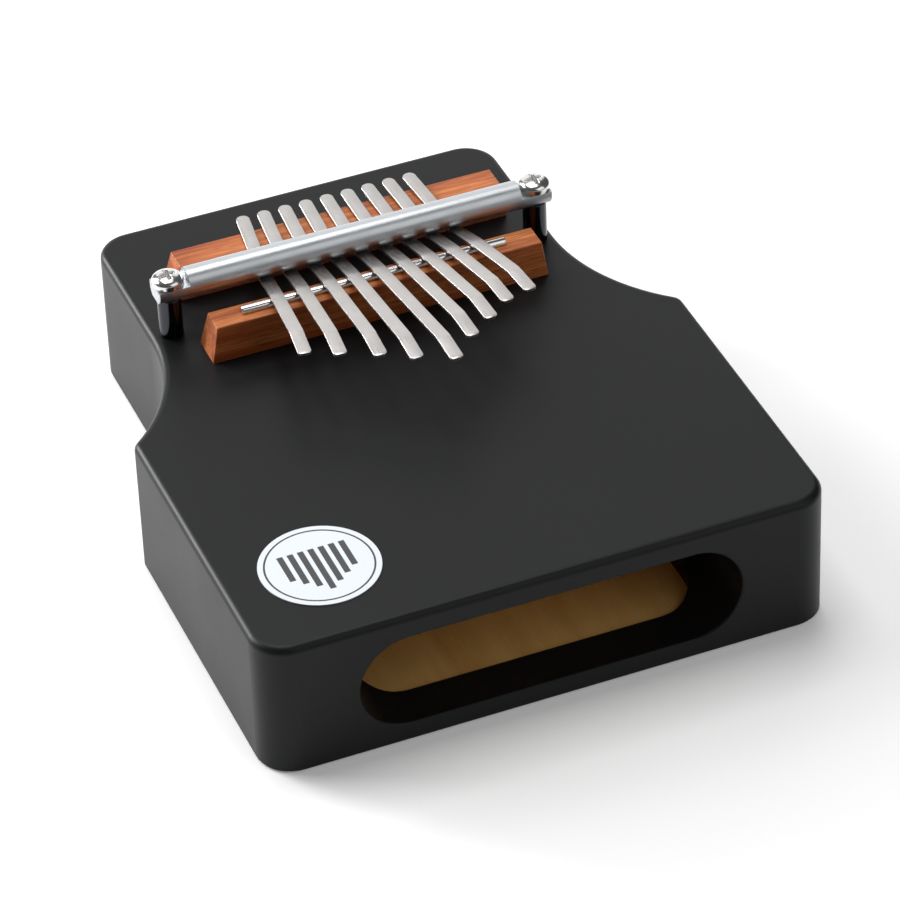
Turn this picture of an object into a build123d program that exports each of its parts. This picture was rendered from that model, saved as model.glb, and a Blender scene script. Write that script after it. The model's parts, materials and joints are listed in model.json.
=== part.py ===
from build123d import *
import os
from math import atan2, cos, radians, sin, tan

# A box-bodied thumb piano (mbira) with nine steel tines, at its real size in millimetres.
# X runs across the box, +Y points to the head (the narrow end), +Z is up.
# The origin is the centre of the footprint, on the surface that the box rests on.

# ---- Sound box ----
box_width = 180.0
box_length = 214.5
box_height = 46.2
plate_thickness = 5.0
neck_width = 134.6
waist_radius = 62.7
waist_end_y = 50.75
corner_radius = 11.0
shoulder_radius = 4.0
top_edge_radius = 2.5
back_edge_radius = 0.6

# ---- Sound chamber, slot and finger holes ----
chamber_width = 108.0
front_wall = 14.0
chamber_corner_radius = 14.0
slot_width = 121.0
slot_height = 32.0
slot_centre_z = 22.3
slot_edge_radius = 0.8
finger_hole_diameter = 22.0
finger_hole_x = 34.0
finger_hole_y = 15.0
finger_hole_edge_radius = 0.8

# ---- Badge ----
badge_diameter = 36.4
badge_thickness = 0.3
badge_x = -59.8
badge_y = -75.2

# ---- Wooden bridge blocks, both cut from one moulding and glued on by hand ----
block_height = 12.8
block_top_width = 8.9
block_foot_width = 12.4
block_length = 111.4
block_end_lean = 2.0
block_edge_radius = 0.4
front_block_x = 1.5
front_block_y = 29.5
rear_block_x = 2.0
rear_block_y = 64.4

# ---- Bridge rod ----
rod_diameter = 3.2
rod_length = 87.4
rod_x = 1.0
rod_y = 34.3
rod_centre_above_block = 0.45
rod_end_radius = 0.4
rod_groove_clearance = 0.02

# ---- Pressure bar, a round rod with flats at its ends, with its posts, screws and inserts ----
bar_diameter = 9.4
bar_length = 130.6
bar_x = 0.4
bar_y = 50.0
bar_underside_above_box = 13.0
bar_end_radius = 0.4
flat_length = 10.2
upper_flat_depth = 3.6
lower_flat_depth = 1.1
post_spacing = 121.8
post_diameter = 7.6
post_edge_radius = 0.3
clearance_hole_diameter = 5.4
screw_diameter = 5.0
screw_length = 30.0
screw_head_diameter = 10.0
screw_head_height = 3.8
screw_head_rim = 1.9
screw_point_chamfer = 0.8
recess_width = 1.2
recess_span = 5.4
recess_depth = 2.2
insert_diameter = 7.0
insert_length = 12.0
thread_clearance = 0.05

# ---- Tines ----
tine_count = 9
tine_thickness = 0.95
tine_width = 4.3
tine_pitch = 6.95
tine_rear_x = 1.9
tine_rear_y = 78.9
tine_rear_slope = 5.0
tine_front_slope = 9.2
tine_bend_length = 11.0
tine_bend_angle = 13.2
tine_bar_gap = 0.05
tine_rod_gap = 0.4
tine_trough_half_length = 2.3
tine_bend_radius = 4.0
tine_rear_corner = 1.9
tine_tip_corner = 1.2
hinge_gap = 0.1
# The tips are set by hand when the tines are tuned, so they follow no rule.
tine_tip_x = (-35.2, -26.0, -15.7, -6.8, 3.5, 13.1, 22.1, 30.7, 39.3)
tine_tip_y = (-1.9, -8.0, -14.7, -22.1, -28.5, -17.7, -10.2, -2.7, 0.4)

# ---- Lengths that differ by less than this count as the same when edges are picked ----
near = 0.1

# ---- Levels worked out from the sizes above ----
half_length = box_length / 2
rim_height = box_height - 2 * plate_thickness
chamber_length = box_length - 2 * front_wall
block_top_z = box_height + block_height
rod_radius = rod_diameter / 2
rod_z = block_top_z + rod_centre_above_block
over_rod_z = rod_z + rod_radius + tine_rod_gap
bar_radius = bar_diameter / 2
bar_bottom_z = box_height + bar_underside_above_box
bar_z = bar_bottom_z + bar_radius
screw_seat_z = bar_bottom_z + bar_diameter - upper_flat_depth
post_top_z = bar_bottom_z + lower_flat_depth
trough_z = bar_bottom_z - tine_bar_gap - tine_thickness
post_places = [(bar_x - post_spacing / 2, bar_y), (bar_x + post_spacing / 2, bar_y)]

os.makedirs("parts", exist_ok=True)


def finish(builder, name):
    """Label a finished piece and write it to its own file."""
    builder.part.label = name
    export_step(builder.part, f"parts/{name}.step")


def box_outline():
    """Outline of the box: a wide front, a waist of two hollow arcs and a narrow neck."""
    half_box = box_width / 2
    half_neck = neck_width / 2
    arc_centre_x = half_neck + waist_radius
    reach = arc_centre_x - half_box
    shoulder_y = waist_end_y - (waist_radius**2 - reach**2) ** 0.5
    half_sweep = atan2(waist_end_y - shoulder_y, reach) / 2
    mid_arc = (arc_centre_x - waist_radius * cos(half_sweep), waist_end_y - waist_radius * sin(half_sweep))
    with BuildSketch() as outline:
        with BuildLine():
            Line((0, -half_length), (half_box, -half_length))
            Line((half_box, -half_length), (half_box, shoulder_y))
            ThreePointArc((half_box, shoulder_y), mid_arc, (half_neck, waist_end_y))
            Line((half_neck, waist_end_y), (half_neck, half_length))
            Line((half_neck, half_length), (0, half_length))
            mirror(about=Plane.YZ)
        make_face()
        rows = outline.vertices().group_by(Axis.Y)
        square_corners = [corner for corner in [*rows[0], *rows[-1]] if abs(corner.X) > near]
        fillet(square_corners, radius=corner_radius)
        fillet(outline.vertices().filter_by(lambda v: abs(v.Y - shoulder_y) < near), radius=shoulder_radius)
    return outline.sketch


# The rim is routed right through, which leaves the front wall, side walls and rear wall in one piece.
with BuildPart() as rim:
    with BuildSketch(Plane.XY.offset(plate_thickness)):
        add(box_outline())
        RectangleRounded(chamber_width, chamber_length, chamber_corner_radius, mode=Mode.SUBTRACT)
    extrude(amount=rim_height)
    with BuildSketch(Plane.XZ.offset(half_length - 2 * front_wall)):
        with Locations((0, slot_centre_z)):
            SlotOverall(slot_width, slot_height)
    extrude(amount=2 * front_wall, mode=Mode.SUBTRACT)
    slot_edges = [
        edge
        for edge in rim.edges().group_by(Axis.Y)[0]
        if abs(edge.center().X) < slot_width / 2
        and abs(edge.center().Z - slot_centre_z) < slot_height / 2 + near
    ]
    fillet(slot_edges, radius=slot_edge_radius)
    with BuildSketch(Plane.XY.offset(box_height - insert_length)):
        with Locations(post_places):
            Circle(insert_diameter / 2)
    extrude(amount=insert_length, mode=Mode.SUBTRACT)
finish(rim, "rim")

with BuildPart() as top_plate:
    with BuildSketch(Plane.XY.offset(box_height - plate_thickness)):
        add(box_outline())
    extrude(amount=plate_thickness)
    fillet(top_plate.faces().sort_by(Axis.Z)[-1].edges(), radius=top_edge_radius)
    with BuildSketch(Plane.XY.offset(box_height - plate_thickness)):
        with Locations(post_places):
            Circle(insert_diameter / 2)
    extrude(amount=plate_thickness, mode=Mode.SUBTRACT)
finish(top_plate, "top_plate")

with BuildPart() as back_plate:
    with BuildSketch():
        add(box_outline())
        with Locations((-finger_hole_x, finger_hole_y), (finger_hole_x, finger_hole_y)):
            Circle(finger_hole_diameter / 2, mode=Mode.SUBTRACT)
    extrude(amount=plate_thickness)
    fillet(back_plate.faces().sort_by(Axis.Z)[0].outer_wire().edges(), radius=back_edge_radius)
    hole_rims = back_plate.edges().filter_by(GeomType.CIRCLE).group_by(Axis.Z)[0]
    hole_rims = [e for e in hole_rims if abs(e.radius - finger_hole_diameter / 2) < near]
    fillet(hole_rims, radius=finger_hole_edge_radius)
finish(back_plate, "back_plate")

with BuildPart() as badge:
    with BuildSketch(Plane.XY.offset(box_height)):
        with Locations((badge_x, badge_y)):
            Circle(badge_diameter / 2)
    extrude(amount=badge_thickness)
finish(badge, "badge")


def bridge_block(centre_x, front_y):
    """A block with an upright front face, a sloped back and ends that lean in towards the top."""
    half_foot = block_length / 2
    half_top = half_foot - block_end_lean
    with BuildPart() as block:
        with BuildSketch(Plane.YZ.offset(centre_x - half_foot)):
            with BuildLine():
                Polyline(
                    (front_y, box_height),
                    (front_y + block_foot_width, box_height),
                    (front_y + block_top_width, block_top_z),
                    (front_y, block_top_z),
                    close=True,
                )
            make_face()
        extrude(amount=block_length)
        with BuildSketch(Plane.XZ.offset(-front_y - block_foot_width)):
            with BuildLine():
                Polyline(
                    (centre_x - half_foot, box_height),
                    (centre_x + half_foot, box_height),
                    (centre_x + half_top, block_top_z),
                    (centre_x - half_top, block_top_z),
                    close=True,
                )
            make_face()
        extrude(amount=block_foot_width, mode=Mode.INTERSECT)
        foot = block.edges().group_by(Axis.Z)[0]
        fillet([edge for edge in block.edges() if edge not in foot], radius=block_edge_radius)
    return block.part


with BuildPart() as front_block:
    add(bridge_block(front_block_x, front_block_y))
    with BuildSketch(Plane.YZ.offset(rod_x - rod_length / 2 - rod_groove_clearance)):
        with Locations((rod_y, rod_z)):
            Circle(rod_radius + rod_groove_clearance)
    extrude(amount=rod_length + 2 * rod_groove_clearance, mode=Mode.SUBTRACT)
finish(front_block, "front_block")

with BuildPart() as rear_block:
    add(bridge_block(rear_block_x, rear_block_y))
finish(rear_block, "rear_block")

with BuildPart() as bridge_rod:
    with BuildSketch(Plane.YZ.offset(rod_x - rod_length / 2)):
        with Locations((rod_y, rod_z)):
            Circle(rod_radius)
    extrude(amount=rod_length)
    fillet(bridge_rod.edges().filter_by(GeomType.CIRCLE), radius=rod_end_radius)
finish(bridge_rod, "bridge_rod")

# The bar is a round rod. Its ends have a flat on top for the screw head and one below for the post.
with BuildPart() as pressure_bar:
    with BuildSketch(Plane.YZ.offset(bar_x - bar_length / 2)):
        with Locations((bar_y, bar_z)):
            Circle(bar_radius)
    extrude(amount=bar_length)
    fillet(pressure_bar.edges().filter_by(GeomType.CIRCLE), radius=bar_end_radius)
    flat_offset = (bar_length - flat_length) / 2
    flat_places = [(bar_x - flat_offset, bar_y), (bar_x + flat_offset, bar_y)]
    with BuildSketch(Plane.XY.offset(screw_seat_z)):
        with Locations(flat_places):
            Rectangle(flat_length, bar_diameter)
    extrude(amount=upper_flat_depth, mode=Mode.SUBTRACT)
    with BuildSketch(Plane.XY.offset(bar_bottom_z)):
        with Locations(flat_places):
            Rectangle(flat_length, bar_diameter)
    extrude(amount=lower_flat_depth, mode=Mode.SUBTRACT)
    with BuildSketch(Plane.XY.offset(bar_bottom_z)):
        with Locations(post_places):
            Circle(clearance_hole_diameter / 2)
    extrude(amount=bar_diameter, mode=Mode.SUBTRACT)
finish(pressure_bar, "pressure_bar")


def post(name, x):
    """Tubular spacer that carries one end of the bar."""
    with BuildPart() as piece:
        with BuildSketch(Plane.XY.offset(box_height)):
            with Locations((x, bar_y)):
                Circle(post_diameter / 2)
                Circle(clearance_hole_diameter / 2, mode=Mode.SUBTRACT)
        extrude(amount=post_top_z - box_height)
        rings = piece.edges().filter_by(GeomType.CIRCLE)
        outer_rings = [ring for ring in rings if ring.radius > clearance_hole_diameter / 2 + near]
        fillet(outer_rings, radius=post_edge_radius)
    finish(piece, name)
    return piece


def insert(name, x):
    """Threaded insert, let into the top plate and the neck wall below the post."""
    with BuildPart() as piece:
        with BuildSketch(Plane.XY.offset(box_height - insert_length)):
            with Locations((x, bar_y)):
                Circle(insert_diameter / 2)
                Circle(screw_diameter / 2 + thread_clearance, mode=Mode.SUBTRACT)
        extrude(amount=insert_length)
    finish(piece, name)
    return piece


def screw(name, x):
    """Pan-head machine screw with a cross recess in its domed head."""
    half_head = screw_head_diameter / 2
    head_top_z = screw_seat_z + screw_head_height
    rim_z = screw_seat_z + screw_head_rim
    with BuildPart() as piece:
        with BuildSketch(Plane.XZ.offset(-bar_y)):
            with BuildLine():
                Line((x, screw_seat_z - screw_length), (x, head_top_z))
                TangentArc((x, head_top_z), (x + half_head, rim_z), tangent=(1, 0))
                Polyline(
                    (x + half_head, rim_z),
                    (x + half_head, screw_seat_z),
                    (x + screw_diameter / 2, screw_seat_z),
                    (x + screw_diameter / 2, screw_seat_z - screw_length + screw_point_chamfer),
                    (x + screw_diameter / 2 - screw_point_chamfer, screw_seat_z - screw_length),
                    (x, screw_seat_z - screw_length),
                )
            make_face()
        revolve(axis=Axis((x, bar_y, 0), (0, 0, 1)))
        with BuildSketch(Plane.XY.offset(head_top_z)):
            with Locations((x, bar_y)):
                Rectangle(recess_span, recess_width)
                Rectangle(recess_width, recess_span)
        extrude(amount=-recess_depth, mode=Mode.SUBTRACT)
    finish(piece, name)
    return piece


sides = {"left": post_places[0][0], "right": post_places[1][0]}
posts = [post(f"post_{side}", x) for side, x in sides.items()]
inserts = [insert(f"insert_{side}", x) for side, x in sides.items()]
screws = [screw(f"screw_{side}", x) for side, x in sides.items()]


def strip(name, side, above, bends, ends, corners):
    """A strip bent along the points in its side plane, with its outline trimmed from above.

    The strip's underside follows the points. The corner radii are those of its two ends.
    """
    with BuildPart() as piece:
        with BuildSketch(side):
            with BuildLine():
                underside = FilletPolyline(*bends, radius=tine_bend_radius)
                offset(underside, amount=tine_thickness, side=Side.LEFT)
            make_face()
        extrude(amount=tine_width, both=True)
        with BuildSketch(above) as outline:
            with Locations(((ends[0] + ends[1]) / 2, 0)):
                Rectangle(ends[1] - ends[0], tine_width)
            for end, corner in zip(ends, corners):
                if corner:
                    at_end = [v for v in outline.vertices() if abs(above.to_local_coords(v).X - end) < corner]
                    fillet(at_end, radius=corner)
        extrude(amount=2 * (bar_z - box_height), mode=Mode.INTERSECT)
    finish(piece, name)
    return piece


def tine(number):
    """One tine as two pieces: the end held under the bar, and the free blade in front of the rod.

    Distances along the tine are measured from the point above the rod, positive towards the tip.
    """
    rear_x = tine_rear_x + tine_pitch * (number - (tine_count - 1) / 2)
    run_x = tine_tip_x[number] - rear_x
    run_y = tine_tip_y[number] - tine_rear_y
    tine_length = (run_x**2 + run_y**2) ** 0.5
    stretch = tine_length / abs(run_y)
    forward = (run_x / tine_length, run_y / tine_length, 0)
    crossing_x = rear_x + run_x * (rod_y - tine_rear_y) / run_y
    side = Plane(origin=(crossing_x, rod_y, 0), x_dir=forward, z_dir=(forward[1], -forward[0], 0))
    above = Plane(origin=(crossing_x, rod_y, box_height), x_dir=forward, z_dir=(0, 0, 1))

    rear = (rod_y - tine_rear_y) * stretch
    trough_rear = (rod_y - bar_y - tine_trough_half_length) * stretch
    trough_front = (rod_y - bar_y + tine_trough_half_length) * stretch
    tip = rear + tine_length
    bend = tip - tine_bend_length
    rear_rise = tan(radians(tine_rear_slope))
    rod_rise = (over_rod_z - trough_z) / -trough_front
    blade_rise = tan(radians(tine_front_slope))
    tip_drop = tan(radians(tine_bend_angle - tine_front_slope))
    bend_z = over_rod_z + bend * blade_rise
    spare = tine_thickness

    held_end = strip(
        f"tine_{number + 1}",
        side,
        above,
        [
            (rear - spare, trough_z + (trough_rear - rear + spare) * rear_rise),
            (trough_rear, trough_z),
            (trough_front, trough_z),
            (spare, over_rod_z + spare * rod_rise),
        ],
        (rear, -hinge_gap / 2),
        (tine_rear_corner, 0),
    )
    blade = strip(
        f"tine_{number + 1}_blade",
        side,
        above,
        [
            (-spare, over_rod_z - spare * blade_rise),
            (bend, bend_z),
            (tip + spare, bend_z - (tine_bend_length + spare) * tip_drop),
        ],
        (hinge_gap / 2, tip),
        (0, tine_tip_corner),
    )
    return held_end, blade


tines = [tine(number) for number in range(tine_count)]
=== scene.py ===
"""A box thumb piano: a black lacquered sound box, oiled padauk bridges, a chromed clamp and nine spring
steel tines.

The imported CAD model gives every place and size. The tines, the bridge rod and the screws are new surfaces,
and the other CAD nodes keep their shapes and get their finishes here.
"""

import json
import math

import bpy
import numpy as np
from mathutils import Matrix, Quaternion, Vector


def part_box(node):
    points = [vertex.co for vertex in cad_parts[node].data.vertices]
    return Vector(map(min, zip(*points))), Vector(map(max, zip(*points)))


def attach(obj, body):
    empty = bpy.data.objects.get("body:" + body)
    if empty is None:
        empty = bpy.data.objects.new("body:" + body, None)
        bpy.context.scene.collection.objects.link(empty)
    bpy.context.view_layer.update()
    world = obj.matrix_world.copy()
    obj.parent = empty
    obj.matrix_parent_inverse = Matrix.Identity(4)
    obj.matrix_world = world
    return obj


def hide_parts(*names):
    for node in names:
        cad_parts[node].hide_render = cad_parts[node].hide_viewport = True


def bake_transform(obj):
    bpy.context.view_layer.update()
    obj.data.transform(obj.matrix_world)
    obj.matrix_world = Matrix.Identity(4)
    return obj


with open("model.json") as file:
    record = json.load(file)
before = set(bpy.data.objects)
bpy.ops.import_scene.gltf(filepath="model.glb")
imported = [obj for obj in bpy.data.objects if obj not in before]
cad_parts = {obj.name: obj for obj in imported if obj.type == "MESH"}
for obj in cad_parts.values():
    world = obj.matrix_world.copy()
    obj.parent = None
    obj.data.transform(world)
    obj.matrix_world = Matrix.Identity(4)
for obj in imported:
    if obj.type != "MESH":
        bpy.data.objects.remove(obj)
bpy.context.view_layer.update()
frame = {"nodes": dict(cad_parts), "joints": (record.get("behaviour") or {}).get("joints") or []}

MM = 0.001

# ---- Camera ----
CAMERA_PLACE = (-0.42752, -1.15191, 0.97104)
CAMERA_AZIMUTH = -20.827
CAMERA_ELEVATION = 37.869
CAMERA_ROLL = 2.306
SENSOR_WIDTH = 36.0
LENS = 202.0

# ---- Tines: the bent strip's own sizes; its ends and direction come from the frame ----
TINE_COUNT = 9
TINE_WIDTH = 4.3 * MM
TINE_THICKNESS = 0.95 * MM
TINE_EDGE = 0.16 * MM
TINE_REAR_CORNER = 1.9 * MM
TINE_TIP_CORNER = 1.2 * MM
TINE_REAR_SLOPE = math.radians(5.0)
TINE_FRONT_SLOPE = math.radians(9.2)
TINE_TIP_SLOPE = math.radians(9.2 - 13.2)
TINE_BEND_LENGTH = 11.0 * MM
TINE_TROUGH_HALF = 2.3 * MM
TINE_BAR_GAP = 0.05 * MM
TINE_ROD_GAP = 0.4 * MM
TINE_SOFTENING = 0.45 * MM
TINE_FLEX_HALF = 5.0 * MM
TINE_STATIONS = 160
TINE_CORNER_STATIONS = 9
TINE_EDGE_POINTS = 4
TINE_SOFTENING_SAMPLES = 25

# ---- Screws: metric M5 pan heads with a cross recess ----
SCREW_RADIUS = 2.5 * MM
SCREW_PITCH = 0.8 * MM
SCREW_THREAD_DEPTH = 0.45 * MM
SCREW_POINT = 0.8 * MM
SCREW_HEAD_HEIGHT = 3.8 * MM
SCREW_HEAD_EDGE = 0.5 * MM
SCREW_RIM = 1.6 * MM
RECESS_HALF_WIDTH = 0.75 * MM
RECESS_HALF_SPAN = 2.9 * MM
RECESS_WALL = 0.35 * MM
RECESS_END_WALL = 1.05 * MM
RECESS_DEPTH = 2.0 * MM
RINGS_PER_PITCH = 6
DOME_RINGS = 48
# The dome's last ring lies this many radians from its axis, and a small flat cap closes it.
DOME_CAP_ANGLE = 0.01

# ---- All turned pieces ----
ROD_EDGE = 0.4 * MM
ROUND_SIDES = 96
EDGE_RINGS = 6

# ---- Edges that turn by more than this many degrees stay crisp ----
TINE_SHARP_ANGLE = 40
ROD_SHARP_ANGLE = 40
SCREW_SHARP_ANGLE = 35

# ---- Bare chamber inside the box ----
CHAMBER_HALF_WIDTH = 54.0 * MM
CHAMBER_HALF_LENGTH = 93.25 * MM
PLATE = 5.0 * MM
PAINT_EDGE = 0.4 * MM
BARE_WOOD_ROUGHNESS = 0.75

# ---- The badge's print ----
PRINT_RING_RADIUS = 16.2 * MM
PRINT_RING_HALF = 0.3 * MM
PRINT_BAR_SPACING = 3.2 * MM
PRINT_BAR_HALF = 0.95 * MM
PRINT_HALF_WIDTH = 10.0 * MM
PRINT_TOP = 8.0 * MM
PRINT_FOOT = -11.5 * MM
PRINT_STEP = 0.8

# ---- Studio: the floor, and each softbox with its place, target, size in metres and watts ----
FLOOR_HALF = 4.0
FLOOR_GAP = 0.4 * MM
FLOOR_GLOW = 0.16
SOFTBOXES = {
    "key_left_rear": ((-1.2, 1.1, 1.0), (0.0, 0.0, 0.05), 1.2, 25.0),
    "left_rim": ((-0.95, 1.15, 0.45), (-0.15, 0.15, 0.0), 0.5, 18.0),
    "top": ((0.0, 0.5, 1.8), (0.0, 0.0, 0.05), 1.0, 17.0),
    "back_card": ((0.5, 1.6, 0.75), (0.0, 0.0, 0.05), 1.6, 9.0),
    "front_fill": ((0.77, -1.09, 1.05), (0.0, -0.05, 0.02), 1.4, 6.5),
}
ROOM_COLOUR = "dfe2e6"
ROOM_STRENGTH = 0.12


def srgb(code):
    """A colour from its sRGB hex code, as linear red, green, blue and alpha."""
    parts = [int(code[i : i + 2], 16) / 255 for i in (0, 2, 4)]
    return tuple(c / 12.92 if c <= 0.04045 else ((c + 0.055) / 1.055) ** 2.4 for c in parts) + (1.0,)


def add(tree, kind, inputs=None, **settings):
    """Adds a shader node with its settings. An input is a value, or another node's output to link."""
    made = tree.nodes.new("ShaderNode" + kind)
    for key, value in settings.items():
        setattr(made, key, value)
    for key, value in (inputs or {}).items():
        if isinstance(value, bpy.types.NodeSocket):
            tree.links.new(value, made.inputs[key])
        else:
            made.inputs[key].default_value = value
    return made


def material(name):
    """An empty material and its node tree."""
    made = bpy.data.materials.new(name)
    made.use_nodes = True
    made.node_tree.nodes.clear()
    return made, made.node_tree


def shade(tree, **sockets):
    """Ends a material with a Principled shader. Each socket gets a value, or another node's output."""
    shader = add(tree, "BsdfPrincipled", {key.replace("_", " "): value for key, value in sockets.items()})
    add(tree, "OutputMaterial", {"Surface": shader.outputs[0]})


def surface(name, points, uv=None):
    """A closed skin over a grid of points, which turn right-handed round the direction of the rings.

    points[i, j] is place j round ring i. Each ring joins the next with four-sided faces, and the first and
    last rings are closed by flat caps. uv[i, j] is the pattern's place in metres.
    """
    rings, sides = points.shape[:2]
    index = np.arange(rings * sides).reshape(rings, sides)
    here, there = index[:-1], index[1:]
    quads = np.stack([here, np.roll(here, -1, 1), np.roll(there, -1, 1), there], -1).reshape(-1, 4)
    faces = quads.tolist() + [index[0, ::-1].tolist(), index[-1].tolist()]
    mesh = bpy.data.meshes.new(name)
    mesh.from_pydata(points.reshape(-1, 3), [], faces)
    if uv is not None:
        layer = mesh.uv_layers.new(name="strip")
        corner = np.zeros(len(mesh.loops), int)
        mesh.loops.foreach_get("vertex_index", corner)
        layer.data.foreach_set("uv", uv.reshape(-1, 2)[corner].astype(np.float32).ravel())
    mesh.shade_smooth()
    mesh.update()
    made = bpy.data.objects.new(name, mesh)
    bpy.context.scene.collection.objects.link(made)
    return made


def smooth_by_angle(piece, degrees):
    """Marks the edges that turn more than an angle as sharp, so that flats and rims stay crisp."""
    piece.data.set_sharp_from_angle(angle=math.radians(degrees))


# ---------------------------------------------------------------- materials


def black_lacquer(name, bare_inside):
    """Sprayed satin lacquer on filled hardwood. It shows soft wide highlights, a fine orange peel, and the
    grain only as the faintest ridges. The plates' inner faces are left as bare, sawn poplar."""
    made, tree = material(name)
    place = add(tree, "TexCoord").outputs["Object"]

    # The lacquer's colour and gloss wander a little, in clouds 30 mm across.
    cloud = add(tree, "TexNoise", {"Vector": place, "Scale": 1 / (30 * MM), "Detail": 3.0}).outputs[0]
    colour = add(
        tree, "Mix", {0: cloud, 6: srgb("101112"), 7: srgb("151617")}, data_type="RGBA"
    ).outputs[2]
    rough = add(tree, "MapRange", {0: cloud, 1: 0.3, 2: 0.7, 3: 0.38, 4: 0.42}).outputs[0]

    # Orange peel 1.8 mm across, and grain ridges 0.9 mm apart that run the length of the box.
    peel = add(tree, "TexNoise", {"Vector": place, "Scale": 1 / (1.8 * MM), "Detail": 1.0}).outputs[0]
    lengthwise = add(tree, "Mapping", {"Vector": place, "Scale": (1.0, 0.03, 0.5)}).outputs[0]
    ridge = add(
        tree, "TexNoise", {"Vector": lengthwise, "Scale": 1 / (0.9 * MM), "Detail": 2.0}
    ).outputs[0]
    height = add(tree, "Math", {0: peel, 1: ridge}, operation="ADD").outputs[0]

    if bare_inside:
        inside = between_plates(tree, place)
        # Bare wood: sawn poplar, with bands 7 mm wide and fibres drawn coarse at 0.5 mm.
        sawn = add(tree, "Mapping", {"Vector": place, "Scale": (1.0, 0.12, 1.0)}).outputs[0]
        band = add(tree, "TexNoise", {"Vector": sawn, "Scale": 1 / (7 * MM), "Detail": 4.0}).outputs[0]
        fibre = add(tree, "TexNoise", {"Vector": sawn, "Scale": 1 / (0.5 * MM), "Detail": 2.0})
        bare = add(tree, "Mix", {0: band, 6: srgb("c8944a"), 7: srgb("f0c680")}, data_type="RGBA")
        fibred = add(
            tree,
            "Mix",
            {0: 0.35, 6: bare.outputs[2], 7: fibre.outputs[1]},
            data_type="RGBA",
            blend_type="SOFT_LIGHT",
        ).outputs[2]
        colour = add(tree, "Mix", {0: inside, 6: colour, 7: fibred}, data_type="RGBA").outputs[2]
        rough = add(tree, "Mix", {0: inside, 2: rough, 3: BARE_WOOD_ROUGHNESS}).outputs[0]
        height = add(tree, "Mix", {0: inside, 2: height, 3: fibre.outputs[0]}).outputs[0]

    bump = add(tree, "Bump", {"Strength": 0.35, "Distance": 0.02 * MM, "Height": height}).outputs[0]
    shade(tree, Base_Color=colour, Roughness=rough, Normal=bump, IOR=1.5, Specular_IOR_Level=0.18)
    return made


def between_plates(tree, place):
    """A mask that is 1 inside the box, between its walls and its plates, and 0 elsewhere. Its limits lie
    PAINT_EDGE past the wood's faces, so that the faces are well inside it."""
    apart = add(tree, "SeparateXYZ", {0: place}).outputs
    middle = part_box("top_plate")[1].z / 2
    across = add(tree, "Math", {0: apart[0]}, operation="ABSOLUTE").outputs[0]
    along = add(tree, "Math", {0: apart[1]}, operation="ABSOLUTE").outputs[0]
    within_x = add(tree, "Math", {0: across, 1: CHAMBER_HALF_WIDTH + PAINT_EDGE}, operation="LESS_THAN")
    within_y = add(tree, "Math", {0: along, 1: CHAMBER_HALF_LENGTH + PAINT_EDGE}, operation="LESS_THAN")
    within_z = add(
        tree, "Math", {0: apart[2], 1: middle, 2: middle - PLATE + PAINT_EDGE}, operation="COMPARE"
    )
    flat = add(tree, "Math", {0: within_x.outputs[0], 1: within_y.outputs[0]}, operation="MULTIPLY")
    solid = add(tree, "Math", {0: flat.outputs[0], 1: within_z.outputs[0]}, operation="MULTIPLY")
    return solid.outputs[0]


def oiled_padauk(name, offset):
    """Padauk, planed and oiled: an orange-brown wood whose grain runs the length of the block, with darker
    growth bands, fine streaks and short open pores. offset moves the pattern, so no two blocks match."""
    made, tree = material(name)
    place = add(tree, "TexCoord").outputs["Object"]

    # Bands 5 mm wide, streaks 0.8 mm wide, and pores 0.3 mm wide, all about twenty times as long.
    grain = add(
        tree, "Mapping", {"Vector": place, "Location": offset, "Scale": (0.05, 1.0, 1.0)}
    ).outputs[0]
    band = add(
        tree, "TexNoise", {"Vector": grain, "Scale": 1 / (5 * MM), "Detail": 3.0, "Distortion": 0.4}
    ).outputs[0]
    streak = add(tree, "TexNoise", {"Vector": grain, "Scale": 1 / (0.8 * MM), "Detail": 3.0}).outputs[0]
    pore = add(tree, "TexNoise", {"Vector": grain, "Scale": 1 / (0.3 * MM), "Detail": 1.0}).outputs[0]

    band_share = add(tree, "MapRange", {0: band, 1: 0.32, 2: 0.68}).outputs[0]
    streak_share = add(tree, "MapRange", {0: streak, 1: 0.35, 2: 0.75, 3: 0.0, 4: 0.7}).outputs[0]
    pore_share = add(tree, "MapRange", {0: pore, 1: 0.62, 2: 0.70, 3: 0.0, 4: 0.6}).outputs[0]
    colour = srgb("9c4618")
    for share, tint in ((band_share, "dd8648"), (streak_share, "7a3010"), (pore_share, "3c160a")):
        colour = add(tree, "Mix", {0: share, 6: colour, 7: srgb(tint)}, data_type="RGBA").outputs[2]

    rough = add(tree, "MapRange", {0: streak, 3: 0.42, 4: 0.58}).outputs[0]
    height = add(tree, "Math", {0: 1.0, 1: pore_share}, operation="SUBTRACT").outputs[0]
    bump = add(tree, "Bump", {"Strength": 0.4, "Distance": 0.04 * MM, "Height": height}).outputs[0]
    shade(tree, Base_Color=colour, Roughness=rough, Normal=bump, IOR=1.48, Specular_IOR_Level=0.4)
    return made


def plated_steel(name, colour, low, high):
    """Turned steel with a plated finish. It mirrors the room, and is a little duller in smears 8 mm across
    where fingers have handled it: its roughness goes from low to high."""
    made, tree = material(name)
    place = add(tree, "TexCoord").outputs["Object"]
    smear = add(tree, "TexNoise", {"Vector": place, "Scale": 1 / (8 * MM), "Detail": 2.0}).outputs[0]
    rough = add(tree, "MapRange", {0: smear, 1: 0.35, 2: 0.65, 3: low, 4: high}).outputs[0]
    shade(tree, Base_Color=srgb(colour), Metallic=1.0, Roughness=rough)
    return made


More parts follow.
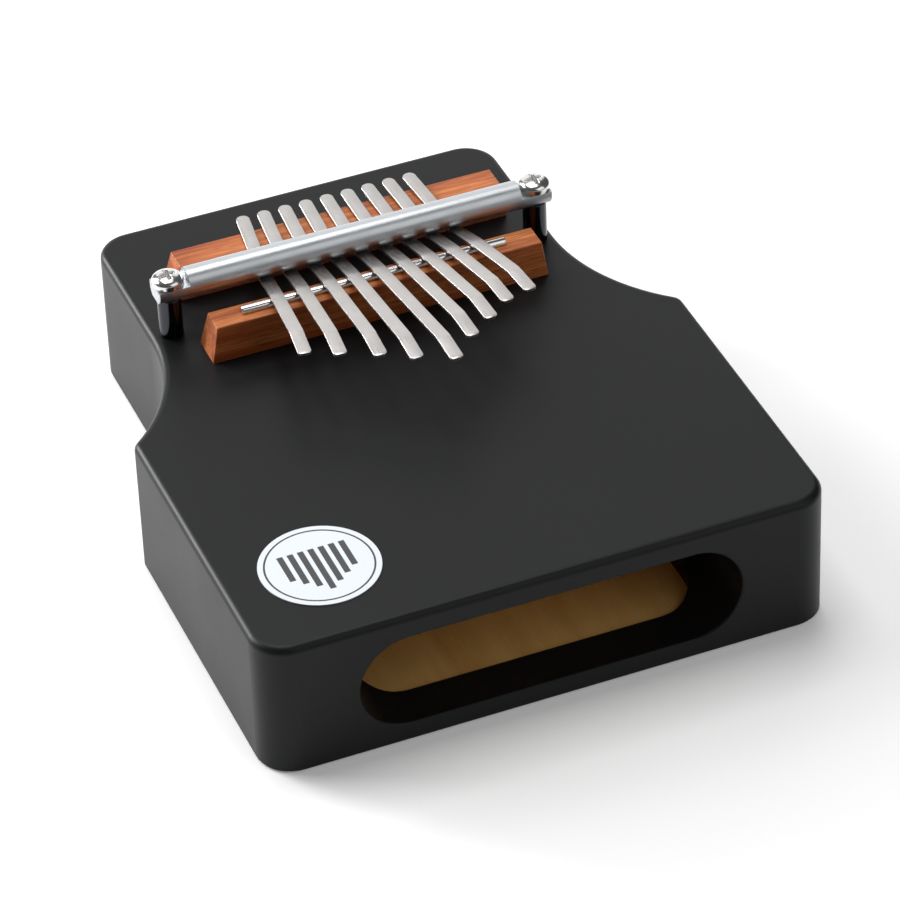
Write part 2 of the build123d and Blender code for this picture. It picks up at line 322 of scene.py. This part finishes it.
def brushed_spring_steel():
    """Spring steel strip, brushed along its length, so its highlight spreads across the strip. The brush
    lines are drawn 0.4 mm apart, coarser than real ones, so that they show. Handling leaves dull patches
    7 mm across."""
    made, tree = material("brushed_spring_steel")
    strip = add(tree, "UVMap", uv_map="strip").outputs[0]
    brushed = add(tree, "Mapping", {"Vector": strip, "Scale": (0.04, 1.0, 1.0)}).outputs[0]
    line = add(tree, "TexNoise", {"Vector": brushed, "Scale": 1 / (0.4 * MM), "Detail": 2.0}).outputs[0]
    patch = add(tree, "TexNoise", {"Vector": strip, "Scale": 1 / (7 * MM), "Detail": 4.0}).outputs[0]
    colour = add(
        tree, "Mix", {0: patch, 6: srgb("b2aeab"), 7: srgb("c8c5c3")}, data_type="RGBA"
    ).outputs[2]
    rough = add(tree, "MapRange", {0: line, 1: 0.3, 2: 0.7, 3: 0.26, 4: 0.42}).outputs[0]
    bump = add(tree, "Bump", {"Strength": 0.1, "Distance": 0.005 * MM, "Height": line}).outputs[0]
    shade(tree, Base_Color=colour, Metallic=1.0, Roughness=rough, Normal=bump)
    return made


def turned_brass():
    """Free-turning brass as it leaves the lathe, with tool rings 0.3 mm apart round its axis."""
    made, tree = material("turned_brass")
    place = add(tree, "TexCoord").outputs["Object"]
    rings = add(tree, "Mapping", {"Vector": place, "Scale": (0.1, 0.1, 1.0)}).outputs[0]
    ring = add(tree, "TexNoise", {"Vector": rings, "Scale": 1 / (0.3 * MM), "Detail": 1.0}).outputs[0]
    colour = add(
        tree, "Mix", {0: ring, 6: srgb("b8893f"), 7: srgb("e0bb6c")}, data_type="RGBA"
    ).outputs[2]
    rough = add(tree, "MapRange", {0: ring, 3: 0.22, 4: 0.4}).outputs[0]
    shade(tree, Base_Color=colour, Metallic=1.0, Roughness=rough)
    return made


def printed_vinyl(centre):
    """A round vinyl sticker with a clear gloss film over its print: a ring, and seven bars of stepped
    length that stand for tines. The print is worked out from the distance to the sticker's centre."""
    made, tree = material("printed_vinyl")
    place = add(tree, "TexCoord").outputs["Object"]
    local = add(tree, "Mapping", {"Vector": place, "Location": tuple(-centre)}).outputs[0]
    right, up, _ = add(tree, "SeparateXYZ", {0: local}).outputs
    flat = add(tree, "CombineXYZ", {0: right, 1: up}).outputs[0]
    radius = add(tree, "VectorMath", {0: flat}, operation="LENGTH").outputs["Value"]
    ring = add(
        tree, "Math", {0: radius, 1: PRINT_RING_RADIUS, 2: PRINT_RING_HALF}, operation="COMPARE"
    ).outputs[0]

    # Evenly spaced bars, which all start at one line. Their feet make a V, lowest in the middle.
    half = PRINT_BAR_SPACING / 2
    from_bar = add(tree, "Math", {0: right, 1: half, 2: -half}, operation="WRAP").outputs[0]
    bar_middle = add(tree, "Math", {0: right, 1: from_bar}, operation="SUBTRACT").outputs[0]
    aside = add(tree, "Math", {0: bar_middle}, operation="ABSOLUTE").outputs[0]
    foot = add(
        tree, "Math", {0: aside, 1: PRINT_STEP, 2: PRINT_FOOT}, operation="MULTIPLY_ADD"
    ).outputs[0]
    part = add(tree, "Math", {0: from_bar, 1: 0.0, 2: PRINT_BAR_HALF}, operation="COMPARE").outputs[0]
    limits = (
        (aside, PRINT_HALF_WIDTH, "LESS_THAN"),
        (up, foot, "GREATER_THAN"),
        (up, PRINT_TOP, "LESS_THAN"),
    )
    for measure, limit, test in limits:
        within = add(tree, "Math", {0: measure, 1: limit}, operation=test).outputs[0]
        part = add(tree, "Math", {0: part, 1: within}, operation="MULTIPLY").outputs[0]
    ink = add(tree, "Math", {0: part, 1: ring}, operation="MAXIMUM").outputs[0]
    colour = add(tree, "Mix", {0: ink, 6: srgb("dfe4ea"), 7: srgb("1c1d20")}, data_type="RGBA").outputs[2]
    speck = add(tree, "TexNoise", {"Vector": place, "Scale": 1 / (2 * MM), "Detail": 2.0}).outputs[0]
    rough = add(tree, "MapRange", {0: speck, 3: 0.28, 4: 0.4}).outputs[0]
    shade(tree, Base_Color=colour, Roughness=rough, IOR=1.5, Coat_Weight=0.6, Coat_Roughness=0.12)
    return made


def seamless_paper():
    """Matt white studio paper, whose tooth is 1.5 mm across. A lamp under it makes it glow a little, which
    lightens the shadows on it."""
    made, tree = material("seamless_paper")
    place = add(tree, "TexCoord").outputs["Object"]
    tooth = add(tree, "TexNoise", {"Vector": place, "Scale": 1 / (1.5 * MM), "Detail": 2.0}).outputs[0]
    bump = add(tree, "Bump", {"Strength": 0.1, "Distance": 0.05 * MM, "Height": tooth}).outputs[0]
    shade(
        tree,
        Base_Color=srgb("f6f6f5"),
        Roughness=0.9,
        Normal=bump,
        Emission_Color=srgb("ffffff"),
        Emission_Strength=FLOOR_GLOW,
    )
    return made


# ---------------------------------------------------------------- pieces


def coordinates(node):
    """The places of a CAD node's vertices, one row each."""
    mesh = frame["nodes"][node].data
    flat = np.zeros(len(mesh.vertices) * 3, np.float32)
    mesh.vertices.foreach_get("co", flat)
    return flat.reshape(-1, 3).astype(float)


def joint(name):
    """A joint of the frame by its name."""
    return next(j for j in frame["joints"] if j["name"] == name)


def rounded_end(distance, radius):
    """How far a strip's side is pulled in at a distance from its end: r - sqrt(r^2 - (r - d)^2)."""
    short = np.clip(radius - distance, 0, radius)
    return radius - np.sqrt(radius**2 - short**2)


def tine(number, finish):
    """One tine as one bent strip from its held end to its tip.

    Its underside is a line of straight runs, softened by a running mean, that goes down under the bar, up
    over the rod, out to the bend and down to the tip. A rounded rectangle is carried along it.
    """
    held, blade = f"tine_{number}", f"tine_{number}_blade"
    forward = np.array(joint(held + "_tune")["axis"], float)
    pivot = np.array(joint(held + "_pluck")["pos_m"], float)
    rear = ((coordinates(held) - pivot) @ forward).min()
    tip = ((coordinates(blade) - pivot) @ forward).max()
    stretch = -1 / forward[1]
    bar_low, bar_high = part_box("pressure_bar")
    under_bar = (pivot[1] - (bar_low.y + bar_high.y) / 2) * stretch
    trough = (under_bar - TINE_TROUGH_HALF * stretch, under_bar + TINE_TROUGH_HALF * stretch)
    trough_z = bar_low.z - TINE_BAR_GAP - TINE_THICKNESS
    rod_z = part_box("bridge_rod")[1].z + TINE_ROD_GAP
    bend = tip - TINE_BEND_LENGTH
    bend_z = rod_z + bend * math.tan(TINE_FRONT_SLOPE)
    reach = TINE_FLEX_HALF
    knots = [rear - reach, trough[0], trough[1], 0.0, bend, tip + reach]
    heights = [
        trough_z + (trough[0] - rear + reach) * math.tan(TINE_REAR_SLOPE),
        trough_z,
        trough_z,
        rod_z,
        bend_z,
        bend_z + (TINE_BEND_LENGTH + reach) * math.tan(TINE_TIP_SLOPE),
    ]
    turn = 1 - np.cos(np.linspace(0, math.pi / 2, TINE_CORNER_STATIONS))
    along = np.concatenate(
        [
            rear + TINE_REAR_CORNER * turn,
            np.linspace(rear + TINE_REAR_CORNER, tip - TINE_TIP_CORNER, TINE_STATIONS)[1:-1],
            (tip - TINE_TIP_CORNER * turn)[::-1],
        ]
    )
    spread = np.linspace(-TINE_SOFTENING, TINE_SOFTENING, TINE_SOFTENING_SAMPLES)
    underside = np.interp(along[:, None] + spread, knots, heights).mean(1)
    slope = np.gradient(underside, along)
    normal = np.stack([-slope * forward[0], -slope * forward[1], np.ones_like(slope)], 1)
    normal /= np.linalg.norm(normal, axis=1)[:, None]
    middle = pivot[:2] + along[:, None] * forward[:2]
    centre = np.column_stack([middle, underside]) + normal * TINE_THICKNESS / 2
    side = np.array([-forward[1], forward[0], 0.0])

    half_width = (
        TINE_WIDTH / 2
        - rounded_end(along - rear, TINE_REAR_CORNER)
        - rounded_end(tip - along, TINE_TIP_CORNER)
    )
    quarter = np.linspace(0, math.pi / 2, TINE_EDGE_POINTS)
    angle = np.concatenate([quarter + k * math.pi / 2 for k in range(4)])
    sign_across = np.repeat([1, -1, -1, 1], TINE_EDGE_POINTS)
    sign_up = np.repeat([1, 1, -1, -1], TINE_EDGE_POINTS)
    across = sign_across * (half_width[:, None] - TINE_EDGE) + TINE_EDGE * np.cos(angle)
    up = sign_up * (TINE_THICKNESS / 2 - TINE_EDGE) + TINE_EDGE * np.sin(angle) + 0 * across
    points = centre[:, None] + across[..., None] * side + up[..., None] * normal[:, None]
    uv = np.stack([along[:, None] + 0 * across, across], -1)
    piece = surface(f"tine_{number}_strip", points, uv)
    smooth_by_angle(piece, TINE_SHARP_ANGLE)
    piece.data.materials.append(finish)
    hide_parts(held, blade)
    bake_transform(piece)


def edge_round(radius):
    """A quarter-round edge from the end inwards, in pairs: the distance in from the end, and the distance
    that the side is pulled in by."""
    turn = np.linspace(0, math.pi / 2, EDGE_RINGS)
    return np.column_stack([radius * (1 - np.cos(turn)), radius * (1 - np.sin(turn))])


def rod(finish):
    """The bridge rod: circles carried along X, pulled in at both ends by a quarter-round edge."""
    low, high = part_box("bridge_rod")
    radius = (high.z - low.z) / 2
    edge = edge_round(ROD_EDGE)
    along = np.concatenate([low.x + edge[:, 0], (high.x - edge[:, 0])[::-1]])
    reach = np.concatenate([radius - edge[:, 1], (radius - edge[:, 1])[::-1]])
    angle = np.linspace(0, 2 * math.pi, ROUND_SIDES, endpoint=False)
    points = np.stack(
        [
            along[:, None] + 0 * angle,
            (low.y + high.y) / 2 + reach[:, None] * np.cos(angle),
            (low.z + high.z) / 2 + reach[:, None] * np.sin(angle),
        ],
        -1,
    )
    piece = surface("bridge_rod_turned", points)
    smooth_by_angle(piece, ROD_SHARP_ANGLE)
    piece.data.materials.append(finish)
    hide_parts("bridge_rod")
    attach(piece, "sound_box")


def pan_head_screw(side, finish):
    """A pan head screw: circles carried up Z.

    On the shank the radius goes in and out once each pitch, and a full turn moves that wave by one pitch,
    which makes the thread. The head is a rim under a dome, r = reach * sin(t), and a cross-shaped
    recess with sloping walls is pushed down into the dome.
    """
    low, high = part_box(f"screw_{side}")
    centre_x, centre_y = (low.x + high.x) / 2, (low.y + high.y) / 2
    head = (high.x - low.x) / 2
    bar_top_z = high.z - SCREW_HEAD_HEIGHT
    angle = np.linspace(0, 2 * math.pi, ROUND_SIDES, endpoint=False)

    shank_z = np.arange(low.z + SCREW_POINT, bar_top_z, SCREW_PITCH / RINGS_PER_PITCH)
    shank_z = np.concatenate([[low.z], shank_z, [bar_top_z]])
    wave = np.abs((shank_z[:, None] / SCREW_PITCH - angle / (2 * math.pi)) % 1 - 0.5) * 2
    shank_r = SCREW_RADIUS - SCREW_THREAD_DEPTH * wave
    shank_r[0] = SCREW_RADIUS - SCREW_POINT
    shank_r[-1] = SCREW_RADIUS - SCREW_THREAD_DEPTH

    under = edge_round(SCREW_HEAD_EDGE)
    under_z = bar_top_z + under[:, 0]
    under_r = head - under[:, 1]
    turn = np.linspace(math.pi / 2, DOME_CAP_ANGLE, DOME_RINGS)
    dome_z = bar_top_z + SCREW_RIM + (SCREW_HEAD_HEIGHT - SCREW_RIM) * np.cos(turn)
    dome_r = head * np.sin(turn)
    head_z = np.concatenate([under_z, dome_z])[:, None] + 0 * angle
    head_r = np.concatenate([under_r, dome_r])[:, None] + 0 * angle

    z = np.concatenate([shank_z[:, None] + 0 * angle, head_z])
    r = np.concatenate([shank_r, head_r])
    x, y = r * np.cos(angle), r * np.sin(angle)
    narrow, wide = np.minimum(abs(x), abs(y)), np.maximum(abs(x), abs(y))
    wall = np.clip((RECESS_HALF_WIDTH - narrow) / RECESS_WALL, 0, 1)
    end = np.clip((RECESS_HALF_SPAN - wide) / RECESS_END_WALL, 0, 1)
    on_dome = z > bar_top_z + SCREW_RIM
    z = z - np.where(on_dome, RECESS_DEPTH * wall * end, 0)
    points = np.stack([centre_x + x, centre_y + y, z], -1)
    piece = surface(f"screw_{side}_turned", points)
    smooth_by_angle(piece, SCREW_SHARP_ANGLE)
    piece.data.materials.append(finish)
    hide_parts(f"screw_{side}")
    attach(piece, f"screw_{side}")


# ---------------------------------------------------------------- the object

satin_chrome = plated_steel("satin_chrome", "c0c3c6", 0.33, 0.38)
bright_nickel = plated_steel("bright_nickel", "d9d8d6", 0.16, 0.2)
# The posts' chrome gets a dark base colour, 3c3d41: a painted reflection of the dark room that the chrome
# posts mirror, not a plating.
chrome_painted_dark = plated_steel("chrome_painted_dark", "3c3d41", 0.12, 0.2)
brass = turned_brass()
plate_lacquer = black_lacquer("satin_black_lacquer_plate", True)
finishes = {
    "rim": black_lacquer("satin_black_lacquer_rim", False),
    "top_plate": plate_lacquer,
    "back_plate": plate_lacquer,
    "front_block": oiled_padauk("oiled_padauk_front", (0.0, 0.0, 0.0)),
    "rear_block": oiled_padauk("oiled_padauk_rear", (0.4, 0.03, 0.02)),
    "pressure_bar": satin_chrome,
    "post_left": chrome_painted_dark,
    "post_right": chrome_painted_dark,
    "insert_left": brass,
    "insert_right": brass,
    "badge": printed_vinyl(sum(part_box("badge"), Vector()) / 2),
}
for node, finish in finishes.items():
    frame["nodes"][node].data.materials.clear()
    frame["nodes"][node].data.materials.append(finish)

rod(bright_nickel)
for side in ("left", "right"):
    pan_head_screw(side, bright_nickel)

spring_steel = brushed_spring_steel()
for number in range(1, TINE_COUNT + 1):
    tine(number, spring_steel)

# ---------------------------------------------------------------- floor, light and camera

floor_mesh = bpy.data.meshes.new("floor")
floor_mesh.from_pydata(
    [(x * FLOOR_HALF, y * FLOOR_HALF, -FLOOR_GAP) for x, y in ((-1, -1), (1, -1), (1, 1), (-1, 1))],
    [],
    [(0, 1, 2, 3)],
)
floor = bpy.data.objects.new("floor", floor_mesh)
floor_mesh.materials.append(seamless_paper())
bpy.context.scene.collection.objects.link(floor)


def softbox(name, place, target, size, watts):
    """A square soft white light that faces a target."""
    lamp = bpy.data.lights.new(name, "AREA")
    lamp.shape = "SQUARE"
    lamp.size = size
    lamp.energy = watts
    made = bpy.data.objects.new(name, lamp)
    made.location = place
    made.rotation_mode = "QUATERNION"
    made.rotation_quaternion = (Vector(target) - Vector(place)).to_track_quat("-Z", "Y")
    bpy.context.scene.collection.objects.link(made)


for name, settings in SOFTBOXES.items():
    softbox(name, *settings)

world = bpy.data.worlds.new("studio")
world.use_nodes = True
world.node_tree.nodes["Background"].inputs["Color"].default_value = srgb(ROOM_COLOUR)
world.node_tree.nodes["Background"].inputs["Strength"].default_value = ROOM_STRENGTH
bpy.context.scene.world = world
bpy.context.scene.view_settings.view_transform = "Standard"

camera = bpy.data.objects.new("camera", bpy.data.cameras.new("camera"))
camera.data.sensor_width = SENSOR_WIDTH
camera.data.lens = LENS
azimuth, elevation = math.radians(CAMERA_AZIMUTH), math.radians(CAMERA_ELEVATION)
back = Vector(
    (
        math.sin(azimuth) * math.cos(elevation),
        -math.cos(azimuth) * math.cos(elevation),
        math.sin(elevation),
    )
)
camera.location = CAMERA_PLACE
camera.rotation_mode = "QUATERNION"
camera.rotation_quaternion = (-back).to_track_quat("-Z", "Y") @ Quaternion(
    (0, 0, 1), math.radians(-CAMERA_ROLL)
)
bpy.context.scene.collection.objects.link(camera)
bpy.context.scene.camera = camera
